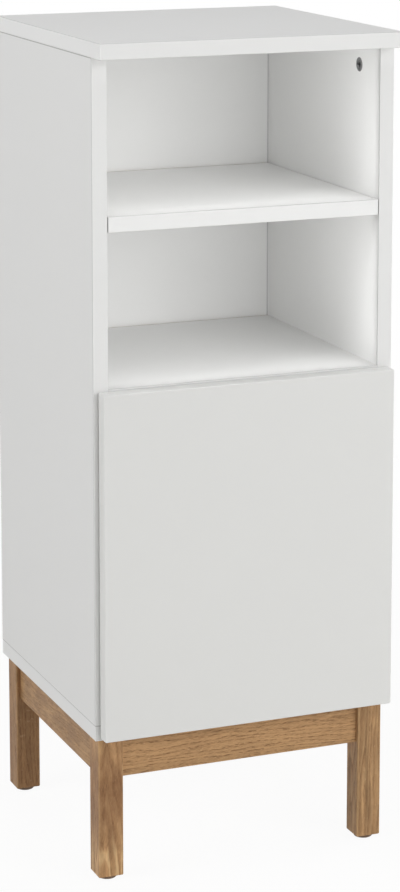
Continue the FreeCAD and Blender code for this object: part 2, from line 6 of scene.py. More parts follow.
import bpy
import numpy as np
from bpy.props import FloatProperty, FloatVectorProperty, PointerProperty
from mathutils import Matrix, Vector


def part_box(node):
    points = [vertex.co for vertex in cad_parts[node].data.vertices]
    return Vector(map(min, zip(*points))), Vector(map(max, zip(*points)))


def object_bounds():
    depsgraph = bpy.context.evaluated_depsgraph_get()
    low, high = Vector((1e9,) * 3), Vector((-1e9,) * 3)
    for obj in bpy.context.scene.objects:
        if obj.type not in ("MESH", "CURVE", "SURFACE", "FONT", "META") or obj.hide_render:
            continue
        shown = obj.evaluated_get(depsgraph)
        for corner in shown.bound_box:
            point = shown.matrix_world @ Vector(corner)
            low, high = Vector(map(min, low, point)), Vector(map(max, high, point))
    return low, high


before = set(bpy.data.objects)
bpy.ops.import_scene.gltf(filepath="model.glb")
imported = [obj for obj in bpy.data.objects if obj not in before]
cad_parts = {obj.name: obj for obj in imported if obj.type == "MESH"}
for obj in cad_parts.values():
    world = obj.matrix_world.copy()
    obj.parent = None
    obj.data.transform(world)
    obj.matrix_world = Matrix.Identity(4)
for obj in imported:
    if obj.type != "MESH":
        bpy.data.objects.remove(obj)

bl_info = {
    "name": "Single-door cabinet",
    "version": (1, 0, 0),
    "blender": (4, 5, 0),
    "location": "View3D > Sidebar > Cabinet",
    "description": "Gives each piece of the cabinet its finish and sets up the studio",
    "category": "Object",
}

CAD_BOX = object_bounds()
MM = 0.001
WHITE = (1.0, 1.0, 1.0, 1.0)
SENSOR_WIDTH = 36.0


def srgb(red, green, blue):
    """Linear colour of a screen colour that is written with 0 to 255 for each part."""

    def linear(part):
        share = part / 255
        return share / 12.92 if share <= 0.04045 else ((share + 0.055) / 1.055) ** 2.4

    return tuple(linear(part) for part in (red, green, blue))


def opaque(colour):
    """The same colour with its fourth part, as node sockets want it."""
    return (*colour[:3], 1.0)


class Value:
    """A node's output that works in Python sums: each operator adds the Math node that it stands for."""

    def __init__(self, finish, socket):
        self.finish = finish
        self.socket = socket

    def math(self, operation, *others):
        """A Math node on this value and any others."""
        terms = dict(enumerate((self, *others)))
        return self.finish.node("ShaderNodeMath", {"operation": operation}, terms)

    def turned(self, operation, other):
        """A Math node with the other term first."""
        terms = {0: other, 1: self}
        return self.finish.node("ShaderNodeMath", {"operation": operation}, terms)

    def __add__(self, other):
        return self.math("ADD", other)

    def __radd__(self, other):
        return self.turned("ADD", other)

    def __sub__(self, other):
        return self.math("SUBTRACT", other)

    def __rsub__(self, other):
        return self.turned("SUBTRACT", other)

    def __mul__(self, other):
        return self.math("MULTIPLY", other)

    def __rmul__(self, other):
        return self.turned("MULTIPLY", other)

    def __truediv__(self, other):
        return self.math("DIVIDE", other)

    def __rtruediv__(self, other):
        return self.turned("DIVIDE", other)

    def __abs__(self):
        return self.math("ABSOLUTE")

    def __gt__(self, other):
        return self.math("GREATER_THAN", other)

    def __lt__(self, other):
        return self.math("LESS_THAN", other)

    def least(self, other):
        """The smaller of two values."""
        return self.math("MINIMUM", other)

    def most(self, other):
        """The larger of two values."""
        return self.math("MAXIMUM", other)

    def step(self, start, end, low=0.0, high=1.0):
        """Goes smoothly from low to high as the value goes from start to end."""
        sockets = {"Value": self, "From Min": start, "From Max": end, "To Min": low, "To Max": high}
        return self.finish.node("ShaderNodeMapRange", {"interpolation_type": "SMOOTHSTEP"}, sockets)


class Finish:
    """A material, or the world, while its nodes are laid out."""

    def __init__(self, holder):
        holder.use_nodes = True
        self.holder = holder
        self.tree = holder.node_tree
        self.tree.nodes.clear()

    def node(self, kind, settings=None, sockets=None, out=0):
        """Adds a node, makes its settings, fills or links its sockets and gives one of its outputs."""
        made = self.tree.nodes.new(kind)
        for name, setting in (settings or {}).items():
            setattr(made, name, setting)
        for name, content in (sockets or {}).items():
            if isinstance(content, Value):
                self.tree.links.new(content.socket, made.inputs[name])
            else:
                made.inputs[name].default_value = content
        return Value(self, made.outputs[out]) if made.outputs else None

    def place(self, centre=(0, 0, 0), turn=(0, 0, 0)):
        """Object coordinates, measured from centre in a turned frame."""
        where = self.node("ShaderNodeTexCoord", out="Object")
        sockets = {"Vector": where, "Location": centre, "Rotation": turn}
        return self.node("ShaderNodeMapping", {"vector_type": "TEXTURE"}, sockets)

    def parts(self, vector):
        """The three parts of a vector as values."""
        split = self.node("ShaderNodeSeparateXYZ", sockets={"Vector": vector}).socket.node
        return [Value(self, socket) for socket in split.outputs]

    def vector(self, x, y, z):
        """A vector put together from three values."""
        return self.node("ShaderNodeCombineXYZ", sockets={"X": x, "Y": y, "Z": z})

    def stretched(self, vector, size):
        """A vector in units of size, which is one length for all ways or one for each."""
        per_unit = tuple(1 / length for length in np.broadcast_to(size, 3))
        return self.node("ShaderNodeVectorMath", {"operation": "MULTIPLY"}, {0: vector, 1: per_unit})

    def noise(self, vector, size, detail=2.0, roughness=0.5, distortion=0.0, out="Fac"):
        """Smooth noise with grains of about that size."""
        sockets = {
            "Vector": self.stretched(vector, size),
            "Scale": 1.0,
            "Detail": detail,
            "Roughness": roughness,
            "Distortion": distortion,
        }
        return self.node("ShaderNodeTexNoise", {"noise_dimensions": "3D"}, sockets, out)

    def cells(self, vector, size, feature="F1", out="Color"):
        """Cells of about that size, each with its own random colour."""
        settings = {"voronoi_dimensions": "3D", "feature": feature}
        sockets = {"Vector": self.stretched(vector, size), "Scale": 1.0}
        return self.node("ShaderNodeTexVoronoi", settings, sockets, out)

    def blend(self, factor, first, second):
        """First colour where factor is 0, second where it is 1."""
        first, second = (c if isinstance(c, Value) else opaque(c) for c in (first, second))
        return self.node("ShaderNodeMix", {"data_type": "RGBA"}, {0: factor, 6: first, 7: second}, out=2)

    def shade(self, colour, factor):
        """A colour made lighter or darker by a value."""
        return self.node("ShaderNodeVectorMath", {"operation": "SCALE"}, {0: colour, "Scale": factor})

    def relief(self, height, depth):
        """The surface's normal where height, from 0 to 1, stands for a relief of that depth."""
        return self.node("ShaderNodeBump", None, {"Height": height, "Distance": depth}, "Normal")

    def close(self, **sockets):
        """Puts the surface shader and the output on. Socket names have _ for a space."""
        named = {name.replace("_", " "): content for name, content in sockets.items()}
        shader = self.node("ShaderNodeBsdfPrincipled", None, named)
        self.node("ShaderNodeOutputMaterial", None, {"Surface": shader})
        return self.holder


def new_finish(name):
    """An empty finish in a new material of that name."""
    return Finish(bpy.data.materials.new(name))


def dress(node, material):
    """Puts a material on a piece that comes from the frame."""
    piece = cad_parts[node]
    piece.data.materials.clear()
    piece.data.materials.append(material)


class BoardLook(bpy.types.PropertyGroup):
    """Melamine-faced chipboard and its edging strips."""

    white: FloatVectorProperty(
        name="White",
        description="Colour of the melamine face",
        subtype="COLOR",
        default=srgb(235, 235, 234),
    )
    strip_white: FloatVectorProperty(
        name="Strip white",
        description="Colour of the edging strips",
        subtype="COLOR",
        default=srgb(236, 236, 235),
    )
    pearl: FloatProperty(
        name="Pearl",
        description="Width of one grain of the texture that is pressed into the melamine",
        unit="LENGTH",
        default=0.9 * MM,
    )
    pearl_depth: FloatProperty(
        name="Pearl depth",
        description="Height of the pressed texture",
        unit="LENGTH",
        default=0.03 * MM,
    )
    roughness: FloatProperty(
        name="Roughness",
        description="Mean roughness of the melamine",
        subtype="FACTOR",
        default=0.46,
    )
    chip: FloatProperty(
        name="Chip",
        description="Length of a wood chip where an edge of the board is bare",
        unit="LENGTH",
        default=3.2 * MM,
    )
    chip_dark: FloatVectorProperty(
        name="Dark chip",
        description="Colour of the darkest chips",
        subtype="COLOR",
        default=srgb(160, 125, 86),
    )
    chip_pale: FloatVectorProperty(
        name="Pale chip",
        description="Colour of the palest chips",
        subtype="COLOR",
        default=srgb(222, 194, 152),
    )
    crack: FloatVectorProperty(
        name="Crack",
        description="Colour of the gaps between the chips",
        subtype="COLOR",
        default=srgb(96, 70, 46),
    )
    strip: FloatProperty(
        name="Strip",
        description="Thickness of an edging strip",
        unit="LENGTH",
        default=1.0 * MM,
    )
    seam: FloatProperty(
        name="Seam",
        description="Width of the glue line between a strip and its board",
        unit="LENGTH",
        default=0.8 * MM,
    )
    # Painted shadow: width of the dark line painted where one board stands on another
    joint: FloatProperty(
        name="Joint",
        description="Width of the dark line where one board stands on another",
        unit="LENGTH",
        default=0.7 * MM,
    )
    # Grey of the real glue lines on the strips and of the painted joint shadow lines
    glue_and_shadow_grey: FloatVectorProperty(
        name="Joint grey",
        description="Colour of the glue lines and joint lines",
        subtype="COLOR",
        default=srgb(138, 137, 134),
    )
    joint_shade: FloatProperty(
        name="Joint shade",
        description="How strongly the joint lines show",
        subtype="FACTOR",
        default=0.55,
    )


class BackLook(bpy.types.PropertyGroup):
    """Thin fibreboard, painted on the inner side."""

    paint: FloatVectorProperty(
        name="Paint",
        description="Colour of the painted side",
        subtype="COLOR",
        default=srgb(235, 235, 234),
    )
    fibre: FloatVectorProperty(
        name="Fibre",
        description="Colour of the bare side",
        subtype="COLOR",
        default=srgb(158, 121, 86),
    )
    fleck: FloatVectorProperty(
        name="Fleck",
        description="Colour of the dark flecks on the bare side",
        subtype="COLOR",
        default=srgb(96, 66, 42),
    )
    # Painted shadow: width of the dark line painted where the panel goes into its grooves
    groove_shadow_line: FloatProperty(
        name="Groove",
        description="Width of the dark line where the panel goes into its grooves",
        unit="LENGTH",
        default=1.0 * MM,
    )
    fibre_length: FloatProperty(
        name="Fibre length",
        description="Length of the felted fibres on the bare side",
        unit="LENGTH",
        default=2.4 * MM,
    )


class DoorLook(bpy.types.PropertyGroup):
    """Satin lacquer."""

    lacquer: FloatVectorProperty(
        name="Lacquer",
        description="Colour of the lacquer",
        subtype="COLOR",
        default=srgb(232, 232, 230),
    )
    roughness: FloatProperty(
        name="Roughness",
        description="Mean roughness of the lacquer",
        subtype="FACTOR",
        default=0.38,
    )
    peel: FloatProperty(
        name="Peel",
        description="Width of the faint waves that spraying leaves",
        unit="LENGTH",
        default=3.5 * MM,
    )


class OakLook(bpy.types.PropertyGroup):
    """Oiled oak."""

    late: FloatVectorProperty(
        name="Summer wood",
        description="Colour of the dense outer part of a growth ring",
        subtype="COLOR",
        default=srgb(190, 149, 105),
    )
    early: FloatVectorProperty(
        name="Spring wood",
        description="Colour of the porous inner part of a growth ring",
        subtype="COLOR",
        default=srgb(142, 102, 68),
    )
    pore_colour: FloatVectorProperty(
        name="Pore colour",
        description="Colour of the open pores",
        subtype="COLOR",
        default=srgb(92, 60, 38),
    )
    heart_colour: FloatVectorProperty(
        name="Heart colour",
        description="Colour of a stretch of darker heartwood",
        subtype="COLOR",
        default=srgb(126, 86, 56),
    )
    # Also the colour of the painted highlight on the legs' edges
    ray_and_highlight_colour: FloatVectorProperty(
        name="Ray colour",
        description="Colour of the ray flecks, the pale ring lines and rubbed edges",
        subtype="COLOR",
        default=srgb(214, 178, 132),
    )
    ring: FloatProperty(
        name="Ring",
        description="Mean width of a growth ring",
        unit="LENGTH",
        default=4.2 * MM,
    )
    pore_width: FloatProperty(
        name="Pore width",
        description="Width of a pore",
        unit="LENGTH",
        default=0.4 * MM,
    )
    pore_length: FloatProperty(
        name="Pore length",
        description="Length of a pore along the grain",
        unit="LENGTH",
        default=5 * MM,
    )
    pore_depth: FloatProperty(
        name="Pore depth",
        description="Depth of the open pores",
        unit="LENGTH",
        default=0.25 * MM,
    )
    # Width of the lighter band along a leg's edges: partly wear, partly a painted highlight
    highlit_edge_width: FloatProperty(
        name="Rub",
        description="Width of the lighter rubbed band along an edge",
        unit="LENGTH",
        default=2.5 * MM,
    )
    roughness: FloatProperty(
        name="Roughness",
        description="Mean roughness of the oiled wood",
        subtype="FACTOR",
        default=0.5,
    )


class FittingLook(bpy.types.PropertyGroup):
    """Metal and plastic fittings."""

    die_cast: FloatVectorProperty(
        name="Die-cast zinc",
        description="Colour of the cam discs",
        subtype="COLOR",
        default=srgb(148, 148, 149),
    )
    zinc: FloatVectorProperty(
        name="Zinc plating",
        description="Colour of the screws, bolts, hinge pins and the spring",
        subtype="COLOR",
        default=srgb(196, 199, 203),
    )
    nickel: FloatVectorProperty(
        name="Nickel plating",
        description="Colour of the hinges, shelf pins and strike plate",
        subtype="COLOR",
        default=srgb(205, 201, 194),
    )
    plastic: FloatVectorProperty(
        name="Latch plastic",
        description="Colour of the latch",
        subtype="COLOR",
        default=srgb(176, 178, 180),
    )
    glide: FloatVectorProperty(
        name="Glide plastic",
        description="Colour of the glides under the legs",
        subtype="COLOR",
        default=srgb(116, 94, 74),
    )
    magnet: FloatVectorProperty(
        name="Magnet",
        description="Colour of the magnet in the latch",
        subtype="COLOR",
        default=srgb(70, 70, 72),
    )
    beech: FloatVectorProperty(
        name="Beech",
        description="Colour of the dowels",
        subtype="COLOR",
        default=srgb(214, 180, 140),
    )


class StudioLook(bpy.types.PropertyGroup):
    """Camera, lamps and floor."""

    camera_place: FloatVectorProperty(
        name="Camera place",
        description="Where the camera stands",
        subtype="TRANSLATION",
        unit="LENGTH",
        default=(-1.068, -2.652, 1.139),
    )
    camera_turn: FloatProperty(
        name="Camera turn",
        description="How far the camera turns from the cabinet's depth towards its hinge side",
        unit="ROTATION",
        default=math.radians(22.06),
    )
    camera_dip: FloatProperty(
        name="Camera dip",
        description="How far the camera looks down",
        unit="ROTATION",
        default=math.radians(8.99),
    )
    lens: FloatProperty(
        name="Lens",
        description="Focal length in millimetres, for a sensor 36 mm along the picture's longer side",
        default=110.4,
    )
    camera_rise: FloatProperty(
        name="Camera rise",
        description="Upward shift of the lens as a share of the picture's height",
        default=-0.28,
    )
    ambient: FloatProperty(
        name="Ambient",
        description="Strength of the even light from all round",
        default=0.03,
    )
    key: FloatProperty(
        name="Key lamp",
        description="Power of the lamp in front on the right",
        unit="POWER",
        default=22.8,
    )
    front: FloatProperty(
        name="Front lamp",
        description="Power of the lamp in front",
        unit="POWER",
        default=31.6,
    )
    left: FloatProperty(
        name="Left lamp",
        description="Power of the lamp on the left",
        unit="POWER",
        default=46.0,
    )
    right: FloatProperty(
        name="Right lamp",
        description="Power of the lamp on the right",
        unit="POWER",
        default=36.0,
    )
    rear: FloatProperty(
        name="Rear lamp",
        description="Power of the lamp behind",
        unit="POWER",
        default=36.0,
    )
    overhead: FloatProperty(
        name="Overhead lamp",
        description="Power of the lamp above",
        unit="POWER",
        default=14.0,
    )
    upper_fill: FloatProperty(
        name="Upper fill",
        description="Power of the soft light in the mouth of the upper open compartment",
        unit="POWER",
        default=0.144,
    )
    lower_fill: FloatProperty(
        name="Lower fill",
        description="Power of the soft light in the mouth of the lower open compartment",
        unit="POWER",
        default=0.145,
    )
    floor_colour: FloatVectorProperty(
        name="Floor colour",
        description="Colour of the matt floor",
        subtype="COLOR",
        default=srgb(236, 236, 234),
    )
    floor_radius: FloatProperty(
        name="Floor radius",
        description="Radius of the round floor",
        unit="LENGTH",
        default=9.0,
    )


class OakStick(NamedTuple):
    """How one oak piece was cut from the log.

    The grain runs along one axis. Pith is the way from the piece's middle to the log's, across and deep,
    and lean is how far that line leans. Tone is the brightness, and lines, streaks, clouds and dashes are
    the strengths of the figure. Heart is the middle, reach and strength of a stretch of darker wood.
    """

    node: str
    grain: str
    pith: tuple
    lean: tuple
    tone: float
    lines: float
    streaks: float
    clouds: float
    dashes: float
    heart: tuple = ()


GRAIN_TURNS = {
    "x": (0.0, math.pi / 2, 0.0),
    "y": (-math.pi / 2, 0.0, 0.0),
    "z": (0.0, 0.0, 0.0),
}

OAK_STICKS = (
    OakStick(
        node="front_left_leg",
        grain="z",
        pith=(-7 * MM, 7 * MM),
        lean=(0.02, 0.085),
        tone=1.18,
        lines=1.0,
        streaks=0.7,
        clouds=0.6,
        dashes=0.35,
        heart=(12 * MM, 75 * MM, 0.62),
    ),
    OakStick(
        node="front_right_leg",
        grain="z",
        pith=(-46 * MM, 12 * MM),
        lean=(0.02, -0.04),
        tone=0.9,
        lines=0.3,
        streaks=1.3,
        clouds=0.5,
        dashes=0.3,
    ),
    OakStick(
        node="back_left_leg",
        grain="z",
        pith=(55 * MM, -8 * MM),
        lean=(-0.03, 0.02),
        tone=0.97,
        lines=0.25,
        streaks=0.7,
        clouds=0.4,
        dashes=0.6,
        heart=(0.0, 400 * MM, 0.4),
    ),
    OakStick(
        node="back_right_leg",
        grain="z",
        pith=(-30 * MM, 34 * MM),
        lean=(0.05, 0.08),
        tone=0.98,
        lines=0.6,
        streaks=0.8,
        clouds=0.4,
        dashes=0.4,
    ),
    OakStick(
        node="front_apron",
        grain="x",
        pith=(-52 * MM, 22 * MM),
        lean=(0.02, 0.015),
        tone=1.1,
        lines=0.05,
        streaks=0.25,
        clouds=0.2,
        dashes=0.8,
    ),
    OakStick(
        node="back_apron",
        grain="x",
        pith=(38 * MM, 40 * MM),
        lean=(-0.03, 0.05),
        tone=0.98,
        lines=0.4,
        streaks=0.8,
        clouds=0.3,
        dashes=0.5,
    ),
    OakStick(
        node="left_apron",
        grain="y",
        pith=(10 * MM, -48 * MM),
        lean=(0.04, 0.06),
        tone=0.9,
        lines=0.05,
        streaks=0.45,
        clouds=1.0,
        dashes=0.2,
    ),
    OakStick(
        node="right_apron",
        grain="y",
        pith=(-24 * MM, 44 * MM),
        lean=(0.03, -0.05),
        tone=1.0,
        lines=0.35,
        streaks=0.7,
        clouds=0.5,
        dashes=0.4,
    ),
)


def growth_rings(finish, look, stick, grain):
    """Distance and angle from the log's pith line, and the count of growth rings out to there.

    The pith line leans along the piece and wanders with a slow noise, and a finer one makes the rings
    uneven.
    """
    across, deep, along = finish.parts(grain)
    slow = finish.noise(grain, (50 * MM, 50 * MM, 160 * MM), out="Color")
    bend_across, bend_deep, bend_ring = finish.parts(slow)
    wander = 12 * MM
    from_pith_across = across - stick.pith[0] - along * stick.lean[0] + (bend_across - 0.5) * wander
    from_pith_deep = deep - stick.pith[1] - along * stick.lean[1] + (bend_deep - 0.5) * wander
    radius = (from_pith_across * from_pith_across + from_pith_deep * from_pith_deep).math("SQRT")
    angle = from_pith_deep.math("ARCTAN2", from_pith_across)
    fine = finish.noise(grain, (13 * MM, 13 * MM, 90 * MM))
    slow_rings, fine_rings = 1.2, 3.2
    rings = radius / look.ring + (bend_ring - 0.5) * slow_rings + (fine - 0.5) * fine_rings
    return radius, angle, rings


def oak(look, stick):
    """Growth rings round the pith of a log, cut by the piece's own faces.

    Each ring goes from porous spring wood to dense summer wood and ends in a pale line. Pores, fibres and
    ray flecks run along the grain, and clouds and a stretch of darker heartwood lie over the rings. The
    long edges of a leg are painted lighter, partly as wear and partly as a painted highlight on their
    arrises.
    """
    finish = new_finish("oak_" + stick.node)
    low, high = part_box(stick.node)
    grain = finish.place(centre=(low + high) / 2, turn=GRAIN_TURNS[stick.grain])
    across, deep, along = finish.parts(grain)
    radius, angle, rings = growth_rings(finish, look, stick, grain)
    season = rings.math("FRACT")
    spring = (1 - season.step(0.05, 0.55)) + season.step(0.92, 1.0)
    pale = season.step(0.52, 0.7) - season.step(0.82, 0.96)
    year = {"W": rings.math("FLOOR")}
    year_tone = finish.node("ShaderNodeTexWhiteNoise", {"noise_dimensions": "1D"}, year, "Value")

    streaks = finish.noise(grain, (6 * MM, 6 * MM, 80 * MM), detail=2.5)
    fibres = finish.noise(grain, (0.9 * MM, 0.9 * MM, 30 * MM), detail=3.0, roughness=0.6)
    clouds = finish.noise(grain, (12 * MM, 12 * MM, 30 * MM), detail=4.0, roughness=0.65)
    pore_size = (look.pore_width, look.pore_width, look.pore_length)
    pores = finish.noise(grain, pore_size, detail=0.0)
    pores = pores.step(0.56, 0.64) * (0.3 + 0.7 * spring)
    dash_size = (2.2 * look.pore_width, 2.2 * look.pore_width, 1.4 * look.pore_length)
    dashes = finish.noise(grain, dash_size, detail=1.0)
    dashes = dashes.step(0.52, 0.7) * (0.5 + 0.5 * spring)
    # Radians round the pith, metres away from it and metres along it
    fleck_size = (1 / 60, 1 / 70, 1 / 190)
    rays = finish.noise(finish.vector(angle, radius, along), fleck_size, detail=1.0)
    rays = rays.step(0.66, 0.74)

    figure = stick.lines
    if stick.heart:
        middle, reach, strength = stick.heart
        core = 0.25 * reach
        heart = 1 - abs(along - middle).step(core, reach)
        figure = figure * (1 - 0.8 * along.step(middle - reach, middle - core))

    wood = finish.blend(spring * (0.14 + 0.5 * year_tone * figure), look.late, look.early)
    wood = finish.blend(pale * figure, wood, look.ray_and_highlight_colour)
    streaked = stick.streaks * (streaks - 0.5)
    fibred = 0.16 * (1.2 - stick.dashes) * fibres
    tone = stick.tone * (0.86 + streaked + fibred + 0.1 * year_tone)
    mottle = clouds.step(0.4, 0.64) * stick.clouds
    wood = finish.shade(wood, tone * (1 - 0.22 * mottle))
    wood = finish.blend(mottle * 0.3, wood, look.early)
    if stick.heart:
        wood = finish.blend(strength * heart * (0.2 + 1.6 * clouds), wood, look.heart_colour)
    wood = finish.blend(rays * 0.3, wood, look.ray_and_highlight_colour)
    wood = finish.shade(wood, 1 - 0.34 * stick.dashes * dashes)
    wood = finish.blend(pores * (0.16 + 0.45 * stick.dashes), wood, look.pore_colour)
    if stick.grain == "z":
        half_wide, half_deep, _ = (high - low) / 2
        # Painted highlight: the long edges of a leg get lighter, partly as wear and partly as the light
        # that rounded arrises catch
        worn_highlit_edge = abs(across).step(half_wide - look.highlit_edge_width, half_wide)
        worn_highlit_edge = worn_highlit_edge * abs(deep).step(half_deep - look.highlit_edge_width, half_deep)
        wood = finish.blend(worn_highlit_edge * 0.35, wood, look.ray_and_highlight_colour)

    height = 0.7 - 0.7 * pores + 0.2 * fibres
    return finish.close(
        Base_Color=wood,
        Roughness=look.roughness + 0.2 * pores - 0.08 * rays + 0.1 * (fibres - 0.5),
        Specular_IOR_Level=0.3,
        Normal=finish.relief(height, look.pore_depth),
    )


def beech(look):
    """Pale even wood with short darker flecks."""
    finish = new_finish("beech")
    where = finish.place()
    flecks = finish.noise(where, 1.2 * MM, detail=1.0).step(0.62, 0.7)
    clouds = finish.noise(where, 10 * MM)
    wood = finish.shade(look.beech, 0.9 + 0.2 * clouds)
    wood = finish.shade(wood, 1 - 0.3 * flecks)
    return finish.close(
        Base_Color=wood,
        Roughness=0.62 + 0.1 * flecks,
        Normal=finish.relief(flecks, 0.05 * MM),
    )


def chipboard(finish, look, thick):
    """Colour and height of a bare chipboard edge: flat chips in random tones among finer ones.

    The chips lie flat in the board, so they are short along the axis that thick names.
    """
    size = [look.chip, look.chip, look.chip]
    size["xyz".index(thick)] = look.chip / 2
    where = finish.place()
    tones = finish.parts(finish.cells(where, size))[0]
    gaps = finish.cells(where, size, feature="DISTANCE_TO_EDGE", out="Distance")
    dust = finish.noise(where, 0.7 * MM)
    chips = finish.blend(tones, look.chip_dark, look.chip_pale)
    chips = finish.shade(chips, 0.74 + 0.5 * dust)
    crack = 1 - gaps.step(0.0, 0.12)
    chips = finish.blend(crack * 0.5, chips, look.crack)
    return chips, dust * 0.5 + (1 - crack) * 0.5


def rim(finish, node, sides, width):
    """1 within that width of the named sides of a piece, such as +y, and 0 elsewhere."""
    low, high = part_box(node)
    where = finish.parts(finish.place())
    mask = None
    for side in sides:
        axis = "xyz".index(side[1])
        edge = where[axis] > high[axis] - width if side[0] == "+" else where[axis] < low[axis] + width
        mask = edge if mask is None else mask.most(edge)
    return mask


def faint(clouds):
    """A brightness that follows the clouds and stays within two hundredths of 1."""
    return 0.985 + 0.02 * clouds


def with_painted_joint_shadow(finish, look, white, node, sides):
    """The white with a dark line along the named sides where another board meets the piece: painted
    shadow of the joint.
    """
    if not sides:
        return white
    # Painted shadow: a dark line where another board meets this one, standing for the shade in the
    # joint's gap
    lines = rim(finish, node, sides, look.joint)
    return finish.blend(lines * look.joint_shade, white, look.glue_and_shadow_grey)


def melamine(look, node, tone, thick, bare, shadowed_sides):
    """White melamine with a pressed pearl texture, and bare chipboard on the sides that are named so."""
    finish = new_finish("melamine_" + node)
    where = finish.place()
    clouds = finish.noise(where, 120 * MM, detail=3.0)
    pearl = finish.noise(where, look.pearl, roughness=0.6)
    white = finish.shade(look.white, tone * (faint(clouds) + 0.012 * pearl))
    # Painted shadow lines along the joints
    white = with_painted_joint_shadow(finish, look, white, node, shadowed_sides)
    roughness = look.roughness + 0.1 * (pearl - 0.5) + 0.08 * (clouds - 0.5)
    height = pearl * (look.pearl_depth / MM)
    if bare:
        film = 0.25 * MM
        edge = rim(finish, node, bare, film)
        chips, chip_height = chipboard(finish, look, thick)
        white = finish.blend(edge, white, chips)
        roughness = roughness + edge * 0.35
        height = height + edge * (chip_height * 0.4 - height)
    return finish.close(
        Base_Color=white,
        Roughness=roughness,
        Normal=finish.relief(height, MM),
    )


def edging(look, node, tone, ring, shadowed_sides):
    """Extruded white strip with a fine grain and a glue line on its inner side."""
    finish = new_finish("edging_" + node)
    low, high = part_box(node)
    where = finish.place()
    x, y, _ = finish.parts(where)
    inward = y - low.y
    if ring:
        inward = (x - low.x).least(high.x - x).least(inward.least(high.y - y))
    glue = inward.step(look.strip - look.seam, look.strip - look.seam / 2)
    grain = finish.noise(where, 0.6 * MM, detail=1.0)
    clouds = finish.noise(where, 80 * MM)
    white = finish.shade(look.strip_white, tone * faint(clouds))
    white = finish.blend(glue * 0.6, white, look.glue_and_shadow_grey)
    # Painted shadow line along the joint with the board below
    white = with_painted_joint_shadow(finish, look, white, node, shadowed_sides)
    return finish.close(
        Base_Color=white,
        Roughness=0.36 + 0.08 * (grain - 0.5) + 0.3 * glue,
        Normal=finish.relief(grain - glue, 0.015 * MM),
    )


def fibreboard(look, node):
    """Thin board: white paint inside, a painted shadow line along its grooves and bare brown fibre
    behind.
    """
    finish = new_finish("fibreboard")
    low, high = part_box(node)
    where = finish.place()
    x, y, _ = finish.parts(where)
    bare = y > (low.y + high.y) / 2
    # Painted shadow: the paint is darker where the panel goes into the side panels' grooves
    groove_shadow_line = abs(x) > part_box("right_side_panel")[0].x - look.groove_shadow_line
    peel = finish.noise(where, 4 * MM)
    clouds = finish.noise(where, 90 * MM, detail=3.0)
    length, width = look.fibre_length, look.fibre_length / 5
    lying = finish.noise(where, (length, width, width), distortion=1.5)
    standing = finish.noise(where, (width, width, length), distortion=1.5)
    felt = lying.most(standing)
    flecks = finish.noise(where, 1.6 * MM, detail=1.0).step(0.66, 0.72)
    paint = finish.shade(look.paint, faint(clouds) * (1 - 0.32 * groove_shadow_line))
    brown = finish.shade(look.fibre, 0.45 + 0.7 * felt + 0.25 * clouds)
    brown = finish.blend(flecks * 0.5, brown, look.fleck)
    return finish.close(
        Base_Color=finish.blend(bare, paint, brown),
        Roughness=0.5 + 0.05 * (peel - 0.5) + bare * (0.2 + 0.15 * felt),
        Normal=finish.relief(peel * 0.3 + bare * felt, 0.06 * MM),
    )


def lacquer(look):
    """Sprayed satin lacquer: an even white with faint waves."""
    finish = new_finish("door_lacquer")
    where = finish.place()
    waves = finish.noise(where, look.peel)
    dust = finish.noise(where, 0.7 * MM, detail=1.0)
    clouds = finish.noise(where, 160 * MM, detail=3.0)
    return finish.close(
        Base_Color=finish.shade(look.lacquer, 0.988 + 0.018 * clouds),
        Roughness=look.roughness + 0.06 * (waves - 0.5) + 0.06 * (clouds - 0.5),
        Normal=finish.relief(waves + 0.25 * dust, 0.02 * MM),
    )


def cast_metal(colour, name):
    """Dull die-cast metal: a grainy skin with darker clouds."""
    finish = new_finish(name)
    where = finish.place()
    grains = finish.noise(where, 0.4 * MM, detail=3.0)
    clouds = finish.noise(where, 4 * MM, detail=3.0)
    return finish.close(
        Base_Color=finish.shade(colour, 0.65 + 0.5 * clouds + 0.25 * (grains - 0.5)),
        Metallic=1.0,
        Roughness=0.46 + 0.2 * (grains - 0.5) + 0.16 * (clouds - 0.5),
        Normal=finish.relief(grains, 0.04 * MM),
    )


def plated_steel(colour, name, brushed):
    """Plated steel: fine drawing lines whose size each way is brushed, and a soft clouding."""
    finish = new_finish(name)
    where = finish.place()
    lines = finish.noise(where, brushed, roughness=0.6)
    clouds = finish.noise(where, 6 * MM, detail=3.0)
    return finish.close(
        Base_Color=finish.shade(colour, 0.86 + 0.2 * clouds + 0.12 * (lines - 0.5)),
        Metallic=1.0,
        Roughness=0.27 + 0.16 * (lines - 0.5) + 0.14 * (clouds - 0.5),
        Normal=finish.relief(lines, 0.012 * MM),
    )


def moulded_plastic(colour, name, roughness):
    """Moulded plastic with the grain of a spark-eroded mould."""
    finish = new_finish(name)
    where = finish.place()
    grain = finish.noise(where, 0.5 * MM)
    flow = finish.noise(where, 12 * MM, distortion=0.6)
    return finish.close(
        Base_Color=finish.shade(colour, 0.93 + 0.12 * flow + 0.06 * (grain - 0.5)),
        Roughness=roughness + 0.12 * (grain - 0.5) + 0.08 * (flow - 0.5),
        Normal=finish.relief(grain, 0.03 * MM),
    )


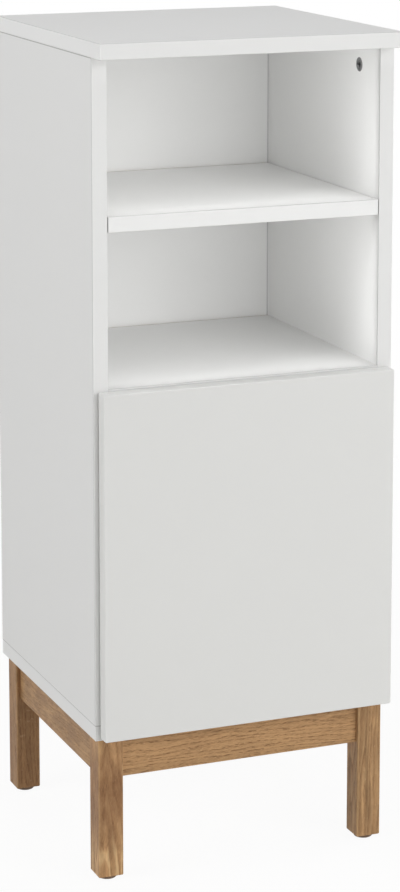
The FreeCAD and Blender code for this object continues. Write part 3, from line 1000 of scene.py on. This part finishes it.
class CABINET_OT_boards(bpy.types.Operator):
    """Give the boards their melamine, with bare chipboard on the rear edges that no strip covers."""

    bl_idname = "cabinet.boards"
    bl_label = "Boards"

    # Brightness (painted shade for the fixed shelf), thin axis, bare sides and sides with a painted joint
    # shadow line
    BOARDS = {
        "top_panel": (1.0, "z", (), ()),
        "bottom_panel": (1.0, "z", (), ()),
        "left_side_panel": (1.0, "x", ("+y",), ("-z", "+z")),
        "right_side_panel": (1.0, "x", ("+y",), ("-z", "+z")),
        # Painted shade: the fixed shelf is darker, as the floor of the lower compartment gets less light
        "fixed_shelf": (0.91, "z", ("+y",), ()),
        "open_shelf": (1.0, "z", ("+y",), ()),
        "inner_shelf": (1.0, "z", ("+y",), ()),
    }

    def execute(self, context):
        for node, (tone, thick, bare, shadowed_sides) in self.BOARDS.items():
            dress(node, melamine(context.scene.board_look, node, tone, thick, bare, shadowed_sides))
        return {"FINISHED"}


class CABINET_OT_strips(bpy.types.Operator):
    """Give the edging strips their finish."""

    bl_idname = "cabinet.strips"
    bl_label = "Edging strips"

    # Brightness (painted extra light for the open shelf's strip), whether it goes all round its board,
    # and sides with a painted joint shadow line
    STRIPS = {
        "top_edge_band": (1.04, True, ()),
        "bottom_edge_band": (1.0, True, ()),
        "left_side_edge_band": (1.05, False, ("-z",)),
        "right_side_edge_band": (1.03, False, ("-z",)),
        "fixed_shelf_edge_band": (1.0, False, ()),
        # Painted light: the open shelf's strip is brighter, as if more light fell on it
        "open_shelf_edge_band": (1.15, False, ()),
        "inner_shelf_edge_band": (1.0, False, ()),
    }

    def execute(self, context):
        for node, (tone, ring, shadowed_sides) in self.STRIPS.items():
            dress(node, edging(context.scene.board_look, node, tone, ring, shadowed_sides))
        return {"FINISHED"}


class CABINET_OT_back(bpy.types.Operator):
    """Give the thin back panel its paint and its bare side."""

    bl_idname = "cabinet.back"
    bl_label = "Back panel"

    def execute(self, context):
        dress("back_panel", fibreboard(context.scene.back_look, "back_panel"))
        return {"FINISHED"}


class CABINET_OT_door(bpy.types.Operator):
    """Give the door its lacquer."""

    bl_idname = "cabinet.door"
    bl_label = "Door"

    def execute(self, context):
        dress("door_panel", lacquer(context.scene.door_look))
        return {"FINISHED"}


class CABINET_OT_oak_frame(bpy.types.Operator):
    """Give each leg and apron its own cut of oak, and the dowels their beech."""

    bl_idname = "cabinet.oak_frame"
    bl_label = "Oak frame"

    def execute(self, context):
        for stick in OAK_STICKS:
            dress(stick.node, oak(context.scene.oak_look, stick))
        pale = beech(context.scene.fitting_look)
        for node in ("carcass_dowels", "apron_dowels"):
            dress(node, pale)
        return {"FINISHED"}


class CABINET_OT_fasteners(bpy.types.Operator):
    """Give the cam fittings, screws and shelf pins their metal."""

    bl_idname = "cabinet.fasteners"
    bl_label = "Cams, screws and pins"

    CAMS = ("top_cam_discs", "base_cam_discs", "shelf_cam_discs")
    PLATED = (
        "top_cam_bolts",
        "base_cam_bolts",
        "shelf_cam_bolts",
        "hinge_tray_screws",
        "hinge_plate_screws",
        "hinge_arm_screws",
        "latch_screws",
        "strike_screws",
        "frame_screws",
    )
    PINS = ("open_shelf_pins", "inner_shelf_pins")

    def execute(self, context):
        look = context.scene.fitting_look
        cast = cast_metal(look.die_cast, "die_cast_zinc")
        plated = plated_steel(look.zinc, "screw_zinc", 0.6 * MM)
        pin = plated_steel(look.nickel, "pin_nickel", (6 * MM, 0.3 * MM, 0.3 * MM))
        for nodes, metal in ((self.CAMS, cast), (self.PLATED, plated), (self.PINS, pin)):
            for node in nodes:
                dress(node, metal)
        return {"FINISHED"}


class CABINET_OT_hinges(bpy.types.Operator):
    """Give the two hinges their nickel and zinc."""

    bl_idname = "cabinet.hinges"
    bl_label = "Hinges"

    def execute(self, context):
        look = context.scene.fitting_look
        nickel = plated_steel(look.nickel, "hinge_nickel", (12 * MM, 0.3 * MM, 0.3 * MM))
        pin = plated_steel(look.zinc, "hinge_pin_zinc", (0.3 * MM, 0.3 * MM, 8 * MM))
        for level in ("upper", "lower"):
            for piece in ("tray", "arm", "plate"):
                dress(f"{level}_hinge_{piece}", nickel)
            dress(f"{level}_hinge_pin", pin)
        return {"FINISHED"}


class CABINET_OT_latch(bpy.types.Operator):
    """Give the push latch and its strike plate their plastic and metal."""

    bl_idname = "cabinet.latch"
    bl_label = "Push latch"

    def execute(self, context):
        look = context.scene.fitting_look
        plastic = moulded_plastic(look.plastic, "latch_plastic", 0.44)
        for node in ("latch_housing", "latch_plunger"):
            dress(node, plastic)
        dress("latch_magnet", moulded_plastic(look.magnet, "magnet", 0.55))
        dress("latch_spring", plated_steel(look.zinc, "spring_zinc", 0.4 * MM))
        strike = plated_steel(look.nickel, "strike_nickel", (0.3 * MM, 0.3 * MM, 12 * MM))
        dress("strike_plate", strike)
        return {"FINISHED"}


class CABINET_OT_glides(bpy.types.Operator):
    """Give the glides under the legs their brown plastic."""

    bl_idname = "cabinet.glides"
    bl_label = "Glides"

    def execute(self, context):
        dress("glides", moulded_plastic(context.scene.fitting_look.glide, "glide_plastic", 0.5))
        return {"FINISHED"}


def seen_directly(finish):
    """1 for what the camera sees straight, in a shiny surface or through glass, else 0."""
    path = finish.node("ShaderNodeLightPath").socket.node
    kinds = ("Camera", "Glossy", "Transmission")
    straight, shiny, through = (Value(finish, path.outputs[f"Is {kind} Ray"]) for kind in kinds)
    return straight.most(shiny).most(through)


def white_world(ambient):
    """White where it is seen, and an even light of that strength otherwise."""
    world = bpy.data.worlds.new("studio")
    bpy.context.scene.world = world
    finish = Finish(world)
    strength = ambient + seen_directly(finish) * (1 - ambient)
    sky = finish.node("ShaderNodeBackground", None, {"Color": WHITE, "Strength": strength})
    finish.node("ShaderNodeOutputWorld", None, {"Surface": sky})


def floor_disc(radius):
    """Round floor on a polar grid: each ring's radius grows as the square of its number."""
    rings, spokes = 24, 96
    share = np.linspace(0, 1, rings + 1)[1:] ** 2
    angles = np.linspace(0, 2 * np.pi, spokes, endpoint=False)
    points = np.zeros((rings, spokes, 3))
    points[..., 0] = radius * share[:, None] * np.cos(angles)
    points[..., 1] = radius * share[:, None] * np.sin(angles)
    inner = np.arange((rings - 1) * spokes).reshape(rings - 1, spokes)
    after = np.roll(inner, -1, axis=1)
    quads = np.stack([inner, inner + spokes, after + spokes, after], axis=-1).reshape(-1, 4)
    mesh = bpy.data.meshes.new("floor")
    mesh.from_pydata(points.reshape(-1, 3).tolist(), [], [list(range(spokes)), *quads.tolist()])
    floor = bpy.data.objects.new("floor", mesh)
    bpy.context.scene.collection.objects.link(floor)
    return floor


def floor_paint(colour):
    """Matt floor that keeps a faint shadow near the cabinet and runs out into white where it is seen."""
    finish = new_finish("floor_paint")
    x, y, _ = finish.parts(finish.place())
    away = (x * x + y * y).math("SQRT")
    near, far, near_white = 0.3, 1.6, 0.94
    share = seen_directly(finish) * away.step(near, far, near_white, 1.0)
    matt = finish.node("ShaderNodeBsdfDiffuse", None, {"Color": opaque(colour)})
    white = finish.node("ShaderNodeEmission", None, {"Color": WHITE, "Strength": 1.0})
    surface = finish.node("ShaderNodeMixShader", None, {0: share, 1: matt, 2: white})
    finish.node("ShaderNodeOutputMaterial", None, {"Surface": surface})
    return finish.holder


def area_lamp(name, place, turn, width, height, power):
    """A flat soft lamp that shiny surfaces don't show."""
    lamp = bpy.data.lights.new(name, "AREA")
    lamp.shape = "RECTANGLE"
    lamp.size = width
    lamp.size_y = height
    lamp.energy = power
    piece = bpy.data.objects.new(name, lamp)
    piece.location = place
    piece.rotation_euler = turn
    piece.visible_glossy = False
    bpy.context.scene.collection.objects.link(piece)
    return piece


def soft_lamp(name, place, target, side, power):
    """A square lamp that looks at a point."""
    turn = (Vector(target) - Vector(place)).to_track_quat("-Z", "Y").to_euler()
    return area_lamp(name, place, turn, side, side, power)


def mouth_lamp(name, floor_node, ceiling_node, power):
    """A lamp that nearly fills the mouth of an open compartment, shines inwards and isn't seen itself."""
    side_gap, end_gap = 9 * MM, 8 * MM
    left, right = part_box("left_side_panel")[1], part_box("right_side_panel")[0]
    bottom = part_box(floor_node)[1].z + end_gap
    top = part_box(ceiling_node)[0].z - end_gap
    place = ((left.x + right.x) / 2, right.y, (bottom + top) / 2)
    inwards = (math.pi / 2, 0.0, 0.0)
    width = right.x - left.x - 2 * side_gap
    piece = area_lamp(name, place, inwards, width, top - bottom, power)
    piece.visible_camera = False


class CABINET_OT_studio(bpy.types.Operator):
    """Set up the floor, the lamps, the white surround and the camera."""

    bl_idname = "cabinet.studio"
    bl_label = "Studio"

    # Where each lamp stands and how wide it is
    LAMPS = {
        "key": ((1.8, -2.6, 1.6), 1.4),
        "front": ((0.6, -3.0, 1.25), 2.0),
        "left": ((-2.7, -0.3, 1.9), 1.6),
        "right": ((2.8, 0.25, 1.2), 2.0),
        "rear": ((0.4, 3.2, 0.75), 1.3),
        "overhead": ((0.0, -0.6, 2.9), 2.0),
    }
    # Lamp, floor and ceiling of each open compartment
    OPEN_PARTS = (
        ("upper_fill", "open_shelf", "top_panel"),
        ("lower_fill", "fixed_shelf", "open_shelf"),
    )

    def execute(self, context):
        look = context.scene.studio_look
        context.scene.view_settings.view_transform = "Standard"
        white_world(look.ambient)
        floor = floor_disc(look.floor_radius)
        floor.data.materials.append(floor_paint(look.floor_colour))

        middle = (CAD_BOX[0] + CAD_BOX[1]) / 2
        for name, (place, side) in self.LAMPS.items():
            soft_lamp(name + "_lamp", place, middle, side, getattr(look, name))
        for name, floor_node, ceiling_node in self.OPEN_PARTS:
            mouth_lamp(name, floor_node, ceiling_node, getattr(look, name))

        camera = bpy.data.cameras.new("camera")
        camera.sensor_width = SENSOR_WIDTH
        camera.lens = look.lens
        camera.shift_y = look.camera_rise
        holder = bpy.data.objects.new("camera", camera)
        holder.location = look.camera_place
        holder.rotation_euler = (math.pi / 2 - look.camera_dip, 0.0, -look.camera_turn)
        context.scene.collection.objects.link(holder)
        context.scene.camera = holder
        return {"FINISHED"}


OPERATORS = (
    CABINET_OT_boards,
    CABINET_OT_strips,
    CABINET_OT_back,
    CABINET_OT_door,
    CABINET_OT_oak_frame,
    CABINET_OT_fasteners,
    CABINET_OT_hinges,
    CABINET_OT_latch,
    CABINET_OT_glides,
    CABINET_OT_studio,
)

LOOKS = {
    "board_look": BoardLook,
    "back_look": BackLook,
    "door_look": DoorLook,
    "oak_look": OakLook,
    "fitting_look": FittingLook,
    "studio_look": StudioLook,
}


class CABINET_PT_sidebar(bpy.types.Panel):
    """Lists the cabinet's looks and operators."""

    bl_idname = "CABINET_PT_sidebar"
    bl_label = "Cabinet"
    bl_space_type = "VIEW_3D"
    bl_region_type = "UI"
    bl_category = "Cabinet"

    def draw(self, context):
        for name, look in LOOKS.items():
            box = self.layout.box()
            box.label(text=look.__doc__)
            for prop in look.__annotations__:
                box.prop(getattr(context.scene, name), prop)
        for operator in OPERATORS:
            self.layout.operator(operator.bl_idname)


def register():
    """Registers the looks, the operators and the panel."""
    for name, look in LOOKS.items():
        bpy.utils.register_class(look)
        setattr(bpy.types.Scene, name, PointerProperty(type=look))
    for operator in OPERATORS:
        bpy.utils.register_class(operator)
    bpy.utils.register_class(CABINET_PT_sidebar)


def unregister():
    """Takes away what register put there."""
    bpy.utils.unregister_class(CABINET_PT_sidebar)
    for operator in reversed(OPERATORS):
        bpy.utils.unregister_class(operator)
    for name, look in reversed(LOOKS.items()):
        delattr(bpy.types.Scene, name)
        bpy.utils.unregister_class(look)


def main():
    """Registers the looks and runs every operator in order."""
    register()
    bpy.ops.cabinet.boards()
    bpy.ops.cabinet.strips()
    bpy.ops.cabinet.back()
    bpy.ops.cabinet.door()
    bpy.ops.cabinet.oak_frame()
    bpy.ops.cabinet.fasteners()
    bpy.ops.cabinet.hinges()
    bpy.ops.cabinet.latch()
    bpy.ops.cabinet.glides()
    bpy.ops.cabinet.studio()


if __name__ == "__main__":
    main()
